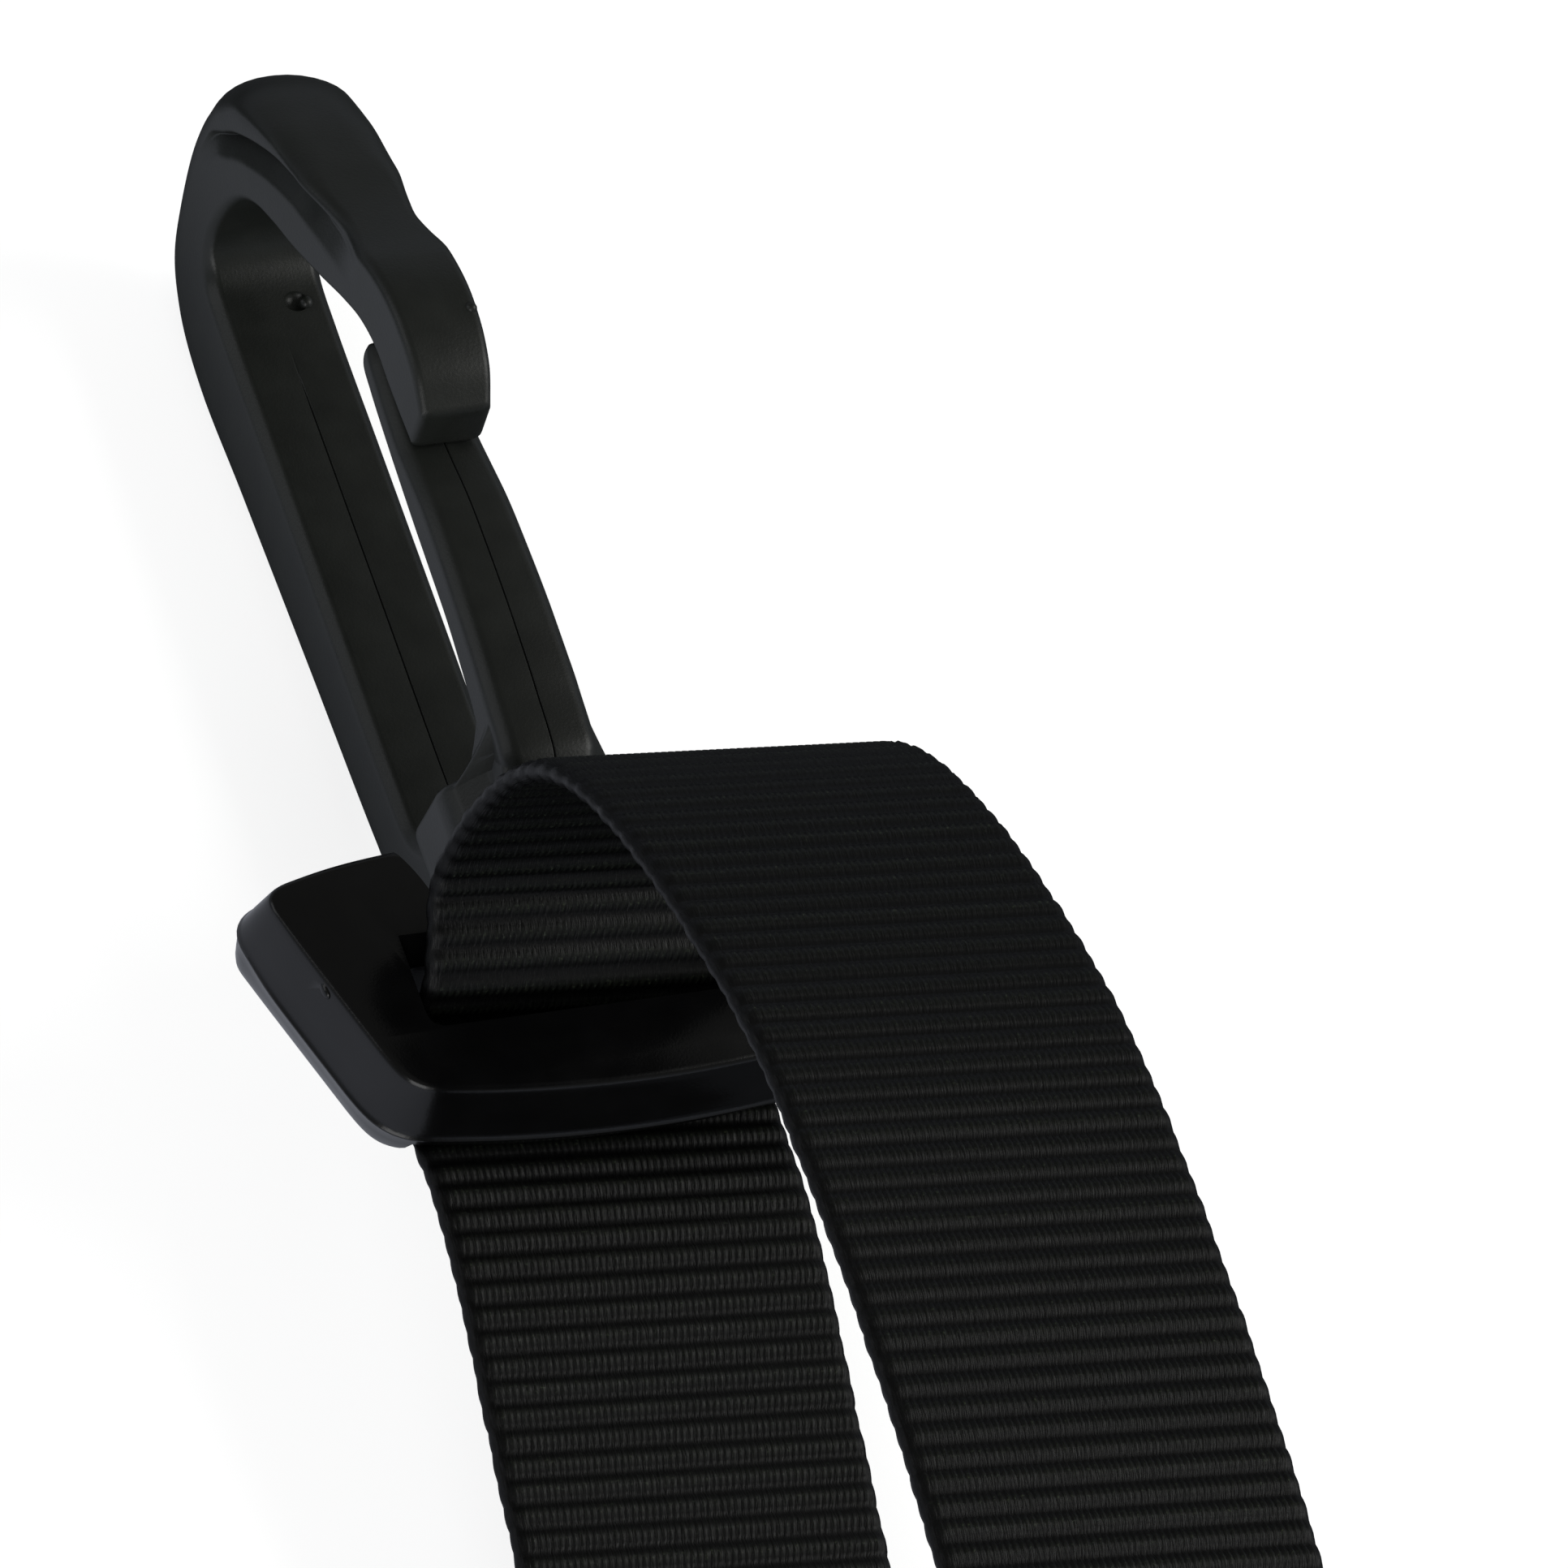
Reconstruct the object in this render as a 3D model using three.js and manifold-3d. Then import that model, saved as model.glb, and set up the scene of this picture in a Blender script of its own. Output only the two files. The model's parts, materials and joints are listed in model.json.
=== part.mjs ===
// Swivel snap hook on a loop of webbing.
// Millimetres. X runs across the webbing, Y from the base towards the tip of the hook, Z is up.
// The parts are drawn from the base: its top face is z = 0, and the front edge of its slot is y = 0.
// The last lines stand the whole object on z = 0 with its origin under the middle of its bounding box.
import * as THREE from 'three';
import { mergeVertices } from 'three/addons/utils/BufferGeometryUtils.js';
import Module from 'manifold-3d';

const wasm = await Module();
wasm.setup();

// ---- driving dimensions ----
const GAP = 0.3;                  // clearance between pieces that touch

const BASE_THICKNESS = 8;         // swivel base, top to bottom
const BASE_DRAFT = 1.4;           // how far the parting line stands out from the top and bottom outlines
const FRONT_HALF = 13;            // half-width of the bowed front edge
const FRONT_Y = -5.1;             // middle of the front edge
const FRONT_BOW_RADIUS = 87;
const SHOULDER_HALF = 20;         // half-width at the rear corners
const REAR_Y = 12.1;
const SLOT_HALF = 13.2;           // the slot takes 25 mm webbing
const SLOT_DEPTH = 5;
const FRONT_BAR_UNDERSIDE = -5.5; // the bar is thinner where the webbing passes under it
const CHANNEL_HALF = 14;          // half-width of that thinner stretch
const SLOT_EASING = 1.5;          // chamfer on the slot's rear top edge
const NOTCH_Y = 8.3;              // floor of the notch that takes the hook's collar
const NOTCH_HALF = 9.4;
const NOTCH_MOUTH_HALF = 11;

const SWIVEL_Z = -4.5;            // height of the swivel axis
const STUD_RADIUS = 2.2;
const STUD_HEAD_RADIUS = 3.4;
const STUD_HEAD_FRONT = 3.4;
const COLLAR_RADIUS = 6.65;       // to the corners, the collar is eight-sided
const COLLAR_END = 17.3;          // bottom of the hook's opening
const COLLAR_SIDES = 8;

const HOOK_HALF = 3.95;           // half-width of the spine and bow
const NOSE_HALF = 2.15;           // half-width at the end of the nose
const HOOK_BEVEL = 1;
const SPINE_FACE_Z = -12.16;      // inner face of the spine
const FLOOR_Z = -20;              // what the spine's back and the webbing rest on
const RECESS_HALF = 2.7;          // half-width of the bow where its sides are cut back

const GATE_PIVOT = [20.95, 1.5];  // y and z of the spring root
const GATE_ROOT_RADIUS = 1.1;
const GATE_ROOT_HALF = 3.3;
const GATE_TIP_HALF = 2.25;

const WEBBING_WIDTH = 25;
const WEBBING_THICKNESS = 1.5;
const WEBBING_YAW = -2.5;         // degrees, the loop leans a little across the base
const WEBBING_ROLL = 4;           // degrees, left edge high near the base
const ROLL_FULL = -36;            // the roll eases out between these two values of y + ROLL_SLOPE * height
const ROLL_ENDS = -66;
const ROLL_SLOPE = 0.7;
const STITCH_WIDTH = 0.7;
const STITCH_HEIGHT = 0.4;

// ---- solids and booleans ----
function toSolid(geometry) {
  const plain = geometry.clone();
  plain.deleteAttribute('normal');
  plain.deleteAttribute('uv');
  const merged = mergeVertices(plain, 1e-4);
  return new wasm.Manifold(new wasm.Mesh({
    numProp: 3,
    vertProperties: new Float32Array(merged.attributes.position.array),
    triVerts: new Uint32Array(merged.index.array),
  }));
}

function toGeometry(solid) {
  const mesh = solid.getMesh();
  const geometry = new THREE.BufferGeometry();
  geometry.setAttribute('position', new THREE.BufferAttribute(mesh.vertProperties, 3));
  geometry.setIndex(new THREE.BufferAttribute(mesh.triVerts, 1));
  geometry.computeVertexNormals();
  return geometry;
}

const X_AXIS = new THREE.Vector3(1, 0, 0);
const Y_AXIS = new THREE.Vector3(0, 1, 0);
const Z_AXIS = new THREE.Vector3(0, 0, 1);
const SIDE_VIEW = new THREE.Matrix4().makeBasis(Y_AXIS, Z_AXIS, X_AXIS);

// A shape drawn in (y, z), extruded from x = low to x = high.
function sideExtrusion(shape, low, high, bevel = 0, curveSegments = 8) {
  const geometry = new THREE.ExtrudeGeometry(shape, {
    depth: high - low - 2 * bevel,
    bevelEnabled: bevel > 0,
    bevelThickness: bevel,
    bevelSize: bevel,
    bevelOffset: -bevel,
    bevelSegments: 1,
    curveSegments,
  });
  geometry.translate(0, 0, low + bevel);
  return geometry.applyMatrix4(SIDE_VIEW);
}

// A shape drawn in (x, y), extruded from z = low to z = high.
function planExtrusion(shape, low, high) {
  const geometry = new THREE.ExtrudeGeometry(shape, {
    depth: high - low, bevelEnabled: false, curveSegments: 8,
  });
  return geometry.translate(0, 0, low);
}

// A profile of [radius, y] points turned about the swivel axis.
function turned(profile, segments = 40, start = 0) {
  const points = profile.map(([radius, y]) => new THREE.Vector2(radius, y));
  return new THREE.LatheGeometry(points, segments, start).translate(0, 0, SWIVEL_Z);
}

function box(x0, x1, y0, y1, z0, z1) {
  const geometry = new THREE.BoxGeometry(x1 - x0, y1 - y0, z1 - z0);
  return geometry.translate((x0 + x1) / 2, (y0 + y1) / 2, (z0 + z1) / 2);
}

function polygon(points) {
  return new THREE.Shape(points.map(([a, b]) => new THREE.Vector2(a, b)));
}

function makeMesh(name, geometry, colour, roughness) {
  const material = new THREE.MeshStandardMaterial({ color: colour, roughness, metalness: 0 });
  const mesh = new THREE.Mesh(geometry, material);
  mesh.name = name;
  return mesh;
}

// ---- swivel base ----
function baseOutline() {
  const bow = Math.asin(FRONT_HALF / FRONT_BOW_RADIUS);
  const bowCentreY = FRONT_Y + FRONT_BOW_RADIUS;
  const frontSideY = bowCentreY - FRONT_BOW_RADIUS * Math.cos(bow);
  const shape = new THREE.Shape();
  shape.absarc(0, bowCentreY, FRONT_BOW_RADIUS, -Math.PI / 2 - bow, -Math.PI / 2 + bow, false);
  shape.bezierCurveTo(FRONT_HALF + 2.3, frontSideY + 0.3, 15.7, -2.8, 16.4, -1);
  shape.lineTo(SHOULDER_HALF - 0.1, 8.9);
  shape.bezierCurveTo(SHOULDER_HALF + 0.4, 10.2, SHOULDER_HALF, 10.8, SHOULDER_HALF - 1.6, 11.1);
  shape.quadraticCurveTo(15, 11.9, NOTCH_MOUTH_HALF, REAR_Y);
  shape.lineTo(-NOTCH_MOUTH_HALF, REAR_Y);
  shape.quadraticCurveTo(-15, 11.9, -SHOULDER_HALF + 1.6, 11.1);
  shape.bezierCurveTo(-SHOULDER_HALF, 10.8, -SHOULDER_HALF - 0.4, 10.2, -SHOULDER_HALF + 0.1, 8.9);
  shape.lineTo(-16.4, -1);
  shape.bezierCurveTo(-15.7, -2.8, -FRONT_HALF - 2.3, frontSideY + 0.3, -FRONT_HALF, frontSideY);
  return shape;
}

function notchOutline() {
  const beyond = REAR_Y + 3;
  const shape = new THREE.Shape();
  shape.moveTo(-NOTCH_HALF + 0.8, NOTCH_Y);
  shape.lineTo(NOTCH_HALF - 0.8, NOTCH_Y);
  shape.quadraticCurveTo(NOTCH_HALF, NOTCH_Y, NOTCH_HALF + 0.3, NOTCH_Y + 0.7);
  shape.quadraticCurveTo(10.2, 10.6, NOTCH_MOUTH_HALF + 0.2, REAR_Y);
  shape.lineTo(NOTCH_MOUTH_HALF + 2, beyond);
  shape.lineTo(-NOTCH_MOUTH_HALF - 2, beyond);
  shape.lineTo(-NOTCH_MOUTH_HALF - 0.2, REAR_Y);
  shape.quadraticCurveTo(-10.2, 10.6, -NOTCH_HALF - 0.3, NOTCH_Y + 0.7);
  shape.quadraticCurveTo(-NOTCH_HALF, NOTCH_Y, -NOTCH_HALF + 0.8, NOTCH_Y);
  return shape;
}

function swivelBase() {
  const land = 0.2;
  const half = (BASE_THICKNESS - land) / 2;
  const body = new THREE.ExtrudeGeometry(baseOutline(), {
    depth: land, bevelEnabled: true, bevelThickness: half, bevelSize: BASE_DRAFT,
    bevelSegments: 3, curveSegments: 8,
  });
  body.translate(0, 0, -half - land);

  const below = -BASE_THICKNESS - 2;
  const slot = box(-SLOT_HALF, SLOT_HALF, 0, SLOT_DEPTH, below, 2);
  const easing = sideExtrusion(polygon([
    [SLOT_DEPTH - 1, 1], [SLOT_DEPTH - 1, -SLOT_EASING - 1],
    [SLOT_DEPTH, -SLOT_EASING], [SLOT_DEPTH + SLOT_EASING + 1, 1],
  ]), -SLOT_HALF, SLOT_HALF);
  const channel = sideExtrusion(polygon([
    [FRONT_Y - 4, FRONT_BAR_UNDERSIDE], [FRONT_Y - 4, below], [1, below],
    [1, FRONT_BAR_UNDERSIDE + 2], [0, FRONT_BAR_UNDERSIDE + 1], [-1, FRONT_BAR_UNDERSIDE],
  ]), -CHANNEL_HALF, CHANNEL_HALF);
  const bore = turned([[0, 3], [STUD_RADIUS + GAP, 3], [STUD_RADIUS + GAP, 10], [0, 10]], 32);

  const cuts = [slot, easing, channel, planExtrusion(notchOutline(), below, 2), bore];
  const solid = cuts.reduce((rest, cut) => rest.subtract(toSolid(cut)), toSolid(body));
  return makeMesh('swivel_base', toGeometry(solid), 0x141416, 0.3);
}

// ---- hook ----
// The closed outline of spine, bow and nose, seen from the side.
function hookOutline() {
  const shape = new THREE.Shape();
  shape.moveTo(13.2, -14.5);
  shape.quadraticCurveTo(13.2, -17.2, 16, -17.4);
  shape.lineTo(50, -19.6);
  shape.bezierCurveTo(58, -20.35, 64.8, -18.6, 67.2, -13.4);
  shape.bezierCurveTo(69.2, -9.5, 69.2, -4.8, 67.9, -2);
  shape.bezierCurveTo(66.6, 0, 64.5, 1.2, 61.5, 2.3);
  shape.lineTo(55, 4.7);
  shape.lineTo(48.9, 7.3);
  shape.quadraticCurveTo(47, 8.3, 44, 8.1);
  shape.lineTo(40.6, 7.3);
  shape.lineTo(38.2, 5.7);
  shape.lineTo(38.2, 3.2);
  shape.lineTo(42.2, 3.7);
  shape.quadraticCurveTo(45.6, 4, 47.6, 3.1);
  shape.lineTo(52, 0.85);
  shape.bezierCurveTo(57.6, -1.2, 61.95, -4, 61.95, -8.5);
  shape.quadraticCurveTo(61.9, -12.1, 58, SPINE_FACE_Z);
  shape.lineTo(23, SPINE_FACE_Z);
  shape.bezierCurveTo(19.5, SPINE_FACE_Z, COLLAR_END, -11, COLLAR_END, -8);
  shape.lineTo(COLLAR_END, -2.6);
  shape.quadraticCurveTo(COLLAR_END, -0.1, 19.5, 0.2);
  shape.lineTo(19.5, 2.9);
  shape.lineTo(13.2, 2.2);
  return shape;
}

// The side of the bow is cut back outside this line, which leaves a full-width rim round the opening.
function recessOutline() {
  const shape = new THREE.Shape();
  shape.moveTo(64.8, -4.2);
  shape.bezierCurveTo(63.6, -2, 61.2, -0.4, 58.6, 0.8);
  shape.lineTo(51.5, 4.3);
  shape.lineTo(53, 9);
  shape.lineTo(64, 7);
  shape.lineTo(71, -1);
  shape.lineTo(69.5, -4.4);
  return shape;
}

function sideTaper(side) {
  const outer = 8 * side;
  const outline = polygon([
    [(NOSE_HALF - 0.1) * side, 36], [NOSE_HALF * side, 38.2], [3.15 * side, 49],
    [(HOOK_HALF + 0.1) * side, 61], [outer, 61], [outer, 36],
  ]);
  return planExtrusion(outline, -9, 12);
}

function hookFrame() {
  const bar = sideExtrusion(hookOutline(), -HOOK_HALF, HOOK_HALF, HOOK_BEVEL);
  const collar = turned([
    [0, NOTCH_Y + GAP], [COLLAR_RADIUS - 0.5, NOTCH_Y + GAP], [COLLAR_RADIUS, NOTCH_Y + GAP + 0.5],
    [COLLAR_RADIUS, COLLAR_END - 0.7], [COLLAR_RADIUS - 0.4, COLLAR_END], [0, COLLAR_END],
  ], COLLAR_SIDES, Math.PI / COLLAR_SIDES);
  const stud = turned([
    [0, STUD_HEAD_FRONT], [STUD_RADIUS, STUD_HEAD_FRONT], [STUD_HEAD_RADIUS, 4.2],
    [STUD_HEAD_RADIUS, SLOT_DEPTH - GAP], [STUD_RADIUS, SLOT_DEPTH - GAP],
    [STUD_RADIUS, NOTCH_Y + 1], [0, NOTCH_Y + 1],
  ], 32);
  const slit = box(-0.4, 0.4, 2, NOTCH_Y - 0.5, SWIVEL_Z - 5, SWIVEL_Z + 5);

  let solid = toSolid(bar);
  for (const side of [-1, 1]) {
    const inner = RECESS_HALF * side;
    const outer = 8 * side;
    const recess = sideExtrusion(recessOutline(), Math.min(inner, outer), Math.max(inner, outer));
    solid = solid.subtract(toSolid(sideTaper(side))).subtract(toSolid(recess));
  }
  solid = solid.add(toSolid(collar)).add(toSolid(stud)).subtract(toSolid(slit));
  return makeMesh('hook_frame', toGeometry(solid), 0x1b1c1c, 0.45);
}

// ---- spring gate ----
function gateOutline() {
  const [rootY, rootZ] = GATE_PIVOT;
  const shape = new THREE.Shape();
  shape.absarc(rootY, rootZ, GATE_ROOT_RADIUS, Math.PI / 2, Math.PI * 1.5, false);
  shape.quadraticCurveTo(24, 0.6, 27.5, 0.95);
  shape.lineTo(44.8, 0.9);
  shape.quadraticCurveTo(46.2, 1, 46.3, 1.7);
  shape.quadraticCurveTo(46.3, 2.6, 45.6, 2.7);
  shape.lineTo(39, 2.75);
  shape.bezierCurveTo(36, 3.4, 33, 3.6, 29, 3.6);
  shape.quadraticCurveTo(25, 3.5, rootY, rootZ + GATE_ROOT_RADIUS);
  return shape;
}

function springGate() {
  const plan = polygon([
    [-GATE_ROOT_HALF, 19], [GATE_ROOT_HALF, 19], [GATE_TIP_HALF, 48], [-GATE_TIP_HALF, 48],
  ]);
  const side = sideExtrusion(gateOutline(), -4, 4);
  const solid = toSolid(side).intersect(toSolid(planExtrusion(plan, -2, 6)));
  return makeMesh('spring_gate', toGeometry(solid), 0x1b1c1c, 0.45);
}

// ---- webbing ----
// The middle of the webbing's thickness as (y, z), from the end that lies on the floor, round the far
// side of the loop, over the top, down to the base, through its slot, and back to the lap.
const LOWER_LAYER_Z = FLOOR_Z + WEBBING_THICKNESS / 2;
const UPPER_LAYER_Z = LOWER_LAYER_Z + WEBBING_THICKNESS + GAP;
const WEBBING_PATH = [
  [-65, LOWER_LAYER_Z], [-80, LOWER_LAYER_Z], [-90, LOWER_LAYER_Z], [-94, LOWER_LAYER_Z + 0.03],
  [-99, -18.7], [-105.5, -16.4], [-110.8, -11.5], [-113.5, -4], [-113.6, 6], [-110, 16], [-102, 24.6],
  [-91, 30.4], [-78, 33.8], [-66, 35.4], [-50, 36.1], [-34, 35.4], [-22, 33.7], [-11, 30],
  [-3, 26.2], [2.2, 22.7], [5, 19.6], [6.9, 15.4], [7.6, 11], [7.5, 6.4], [6.6, 3.2], [4.4, 1.1],
  [2.6, -0.7], [2, -3], [1.8, -5.3], [0.1, -7.2], [-4, -7.8], [-9, -7.5], [-15, -8],
  [-24, -9.7], [-34, -11.5], [-44, -13.5], [-54, -15.7], [-63, UPPER_LAYER_Z + 0.4],
  [-72, UPPER_LAYER_Z], [-82, UPPER_LAYER_Z], [-93, UPPER_LAYER_Z],
];
const WEBBING_STEPS = 230;

function webbingOutline() {
  const points = WEBBING_PATH.map(([y, z]) => new THREE.Vector3(y, z, 0));
  const curve = new THREE.CatmullRomCurve3(points, false, 'centripetal');
  curve.arcLengthDivisions = 1200;
  const near = [];
  const far = [];
  for (let i = 0; i <= WEBBING_STEPS; i += 1) {
    const middle = curve.getPointAt(i / WEBBING_STEPS);
    const along = curve.getTangentAt(i / WEBBING_STEPS);
    const offset = new THREE.Vector2(-along.y, along.x).multiplyScalar(WEBBING_THICKNESS / 2);
    near.push(new THREE.Vector2(middle.x - offset.x, middle.y - offset.y));
    far.push(new THREE.Vector2(middle.x + offset.x, middle.y + offset.y));
  }
  return new THREE.Shape([...near, ...far.reverse()]);
}

// Rolls a geometry about the Y axis: fully near the base, not at all where it lies on the floor.
function easeRoll(geometry) {
  const position = geometry.attributes.position;
  const point = new THREE.Vector3();
  for (let i = 0; i < position.count; i += 1) {
    point.fromBufferAttribute(position, i);
    const along = point.y + ROLL_SLOPE * (point.z - FLOOR_Z);
    const share = THREE.MathUtils.smoothstep(along, ROLL_ENDS, ROLL_FULL);
    point.applyAxisAngle(Y_AXIS, THREE.MathUtils.degToRad(WEBBING_ROLL) * share);
    position.setXYZ(i, point.x, point.y, point.z);
  }
  return geometry;
}

function webbingLoop() {
  const geometry = sideExtrusion(webbingOutline(), -WEBBING_WIDTH / 2, WEBBING_WIDTH / 2);
  easeRoll(geometry);
  geometry.rotateZ(THREE.MathUtils.degToRad(WEBBING_YAW));
  return makeMesh('webbing_loop', toGeometry(toSolid(geometry)), 0x12140f, 0.85);
}

// The row of thread round the lap, as one raised frame on the upper layer.
function lapStitching() {
  const halfX = WEBBING_WIDTH / 2 - 2.5;
  const [nearY, farY] = [-67.5, -90.5];
  const outer = polygon([[-halfX, farY], [halfX, farY], [halfX, nearY], [-halfX, nearY]]);
  const inset = STITCH_WIDTH;
  outer.holes.push(polygon([
    [-halfX + inset, farY + inset], [-halfX + inset, nearY - inset],
    [halfX - inset, nearY - inset], [halfX - inset, farY + inset],
  ]));
  const low = UPPER_LAYER_Z + WEBBING_THICKNESS / 2 + GAP;
  const geometry = easeRoll(planExtrusion(outer, low, low + STITCH_HEIGHT));
  geometry.rotateZ(THREE.MathUtils.degToRad(WEBBING_YAW));
  return makeMesh('lap_stitching', toGeometry(toSolid(geometry)), 0x0d0e0d, 0.8);
}

// ---- assembly ----
const hook = new THREE.Group();
hook.add(hookFrame(), springGate());

const group = new THREE.Group();
group.add(swivelBase(), webbingLoop(), lapStitching(), hook);

const bounds = new THREE.Box3().setFromObject(group);
const centre = bounds.getCenter(new THREE.Vector3());
group.position.set(-centre.x, -centre.y, -bounds.min.z);

export default group;
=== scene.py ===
"""Swivel snap hook on a loop of ribbed webbing.

Shapes are drawn in millimetres in the part's own axes: the base's top face is z = 0, the front edge of
its slot is y = 0, and x = 0 is the middle. place() turns them into metres in the row frame.
"""
import json
import math
import random

import bmesh
import bpy
import numpy as np
from mathutils import Matrix, Vector


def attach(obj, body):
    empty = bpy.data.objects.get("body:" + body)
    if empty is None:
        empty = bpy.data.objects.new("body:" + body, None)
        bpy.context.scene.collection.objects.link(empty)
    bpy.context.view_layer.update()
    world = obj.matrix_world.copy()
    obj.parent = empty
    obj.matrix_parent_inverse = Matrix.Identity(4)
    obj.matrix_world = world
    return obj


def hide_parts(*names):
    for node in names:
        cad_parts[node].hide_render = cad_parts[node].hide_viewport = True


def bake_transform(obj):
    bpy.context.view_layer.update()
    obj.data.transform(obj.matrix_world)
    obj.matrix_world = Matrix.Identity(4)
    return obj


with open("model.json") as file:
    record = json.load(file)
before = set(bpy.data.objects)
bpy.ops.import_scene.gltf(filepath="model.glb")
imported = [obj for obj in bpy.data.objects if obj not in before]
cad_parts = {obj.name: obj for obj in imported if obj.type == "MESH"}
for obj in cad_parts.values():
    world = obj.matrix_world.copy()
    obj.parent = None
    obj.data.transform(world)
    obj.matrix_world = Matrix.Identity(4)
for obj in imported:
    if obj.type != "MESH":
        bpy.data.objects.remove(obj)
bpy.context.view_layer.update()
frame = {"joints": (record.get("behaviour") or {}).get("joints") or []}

MM = 0.001
GATE_PIVOT_Y = 20.95
GATE_PIVOT_Z = 1.5
SWIVEL_Z = -4.5
FLOOR_Z = -20.0

gate_joint = next(j for j in frame["joints"] if j["name"] == "gate_spring")
ORIGIN = np.array(gate_joint["pos_m"]) - np.array([0, GATE_PIVOT_Y, GATE_PIVOT_Z]) * MM


# ---- camera: the photograph's angle, from far away with a long lens ----
VIEW_RIGHT = Vector((0.8974, -0.3138, 0.3102))
VIEW_UP = Vector((0.1181, 0.8483, 0.5163))
VIEW_BACK = Vector((-0.4251, -0.4266, 0.7983))
VIEW_DISTANCE = 1.4
VIEW_WIDTH = 0.09478
AIM = (9.66, 13.1)          # from the slot's front edge to the middle of the view, right and up, mm


def make_camera():
    camera = bpy.data.objects.new("camera", bpy.data.cameras.new("camera"))
    bpy.context.collection.objects.link(camera)
    camera.data.sensor_width = 36
    camera.data.lens = 36 * VIEW_DISTANCE / VIEW_WIDTH
    camera.data.clip_start = 0.1
    camera.data.clip_end = 50
    target = Vector(ORIGIN) + (VIEW_RIGHT * AIM[0] + VIEW_UP * AIM[1]) * MM
    turn = Matrix((VIEW_RIGHT, VIEW_UP, VIEW_BACK)).transposed().to_4x4()
    camera.matrix_world = Matrix.Translation(target + VIEW_BACK * VIEW_DISTANCE) @ turn
    bpy.context.scene.camera = camera


make_camera()


# ---- mesh helpers ----
def place(points):
    return np.asarray(points, float) * MM + ORIGIN


def mesh_object(name, points, faces, smooth=True):
    mesh = bpy.data.meshes.new(name)
    mesh.from_pydata(place(points).tolist(), [], faces)
    mesh.validate()
    mesh.polygons.foreach_set("use_smooth", [smooth] * len(mesh.polygons))
    obj = bpy.data.objects.new(name, mesh)
    bpy.context.collection.objects.link(obj)
    return obj


def quad_mesh(name, points, quads):
    """A smooth mesh from arrays of points and quads."""
    mesh = bpy.data.meshes.new(name)
    mesh.vertices.add(len(points))
    mesh.vertices.foreach_set("co", place(points).astype(np.float32).ravel())
    mesh.loops.add(quads.size)
    mesh.loops.foreach_set("vertex_index", quads.astype(np.int32).ravel())
    mesh.polygons.add(len(quads))
    mesh.polygons.foreach_set("loop_start", np.arange(0, quads.size, 4, dtype=np.int32))
    mesh.polygons.foreach_set("use_smooth", np.ones(len(quads), bool))
    mesh.update(calc_edges=True)
    mesh.validate()
    obj = bpy.data.objects.new(name, mesh)
    bpy.context.collection.objects.link(obj)
    return obj


def ring_faces(rings, count):
    """Quads between rings of count points each, and the two end caps."""
    faces = []
    for i in range(rings - 1):
        for j in range(count):
            k = (j + 1) % count
            faces.append((i * count + j, i * count + k, (i + 1) * count + k, (i + 1) * count + j))
    faces.append(tuple(reversed(range(count))))
    faces.append(tuple(range((rings - 1) * count, rings * count)))
    return faces


def outward(obj):
    """Turns every face of a closed mesh outward."""
    work = bmesh.new()
    work.from_mesh(obj.data)
    bmesh.ops.recalc_face_normals(work, faces=work.faces)
    work.to_mesh(obj.data)
    work.free()
    return obj


def mirrored(section):
    """A closed section from its half with x >= 0, whose two ends lie on x = 0."""
    return np.vstack([section, section[-2:0:-1] * (-1, 1)])


def upright_ring(section, y):
    """A half-section of (x, z) points, mirrored and stood across the part at this y."""
    both = mirrored(section)
    return np.column_stack([both[:, 0], np.full(len(both), y), both[:, 1]])


def loft(name, rings):
    """A closed solid through the rings."""
    return outward(mesh_object(name, np.vstack(rings), ring_faces(len(rings), len(rings[0]))))


def apply_modifiers(obj):
    graph = bpy.context.evaluated_depsgraph_get()
    mesh = bpy.data.meshes.new_from_object(obj.evaluated_get(graph))
    obj.modifiers.clear()
    obj.data = mesh
    return obj


def boolean(obj, other, operation):
    modifier = obj.modifiers.new("boolean", "BOOLEAN")
    modifier.operation = operation
    modifier.solver = "MANIFOLD"
    modifier.object = other
    apply_modifiers(obj)
    bpy.data.objects.remove(other)


def shade(obj, degrees):
    """Smooth shading with edges sharper than this angle kept crisp."""
    obj.data.polygons.foreach_set("use_smooth", [True] * len(obj.data.polygons))
    obj.data.set_sharp_from_angle(angle=math.radians(degrees))


def spline(points, steps):
    """A centripetal Catmull-Rom curve through the points, with steps samples for each stretch."""
    points = np.asarray(points, float)
    padded = np.vstack([2 * points[0] - points[1], points, 2 * points[-1] - points[-2]])
    samples = []
    for i in range(1, len(padded) - 2):
        p0, p1, p2, p3 = padded[i - 1:i + 3]
        d1, d2, d3 = (np.linalg.norm(b - a) ** 0.5 for a, b in ((p0, p1), (p1, p2), (p2, p3)))
        start = ((p1 - p0) / d1 - (p2 - p0) / (d1 + d2) + (p2 - p1) / d2) * d2
        end = ((p2 - p1) / d2 - (p3 - p1) / (d2 + d3) + (p3 - p2) / d3) * d2
        for t in np.arange(steps) / steps:
            a = 2 * t ** 3 - 3 * t ** 2 + 1
            b = t ** 3 - 2 * t ** 2 + t
            samples.append(a * p1 + b * start + (1 - a) * p2 + (t ** 3 - t ** 2) * end)
    samples.append(padded[-2])
    return np.array(samples)


def bezier(p0, p1, p2, p3, steps):
    t = (np.arange(steps) / steps)[:, None]
    p0, p1, p2, p3 = (np.asarray(p, float) for p in (p0, p1, p2, p3))
    return (1 - t) ** 3 * p0 + 3 * (1 - t) ** 2 * t * p1 + 3 * (1 - t) * t ** 2 * p2 + t ** 3 * p3


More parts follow.
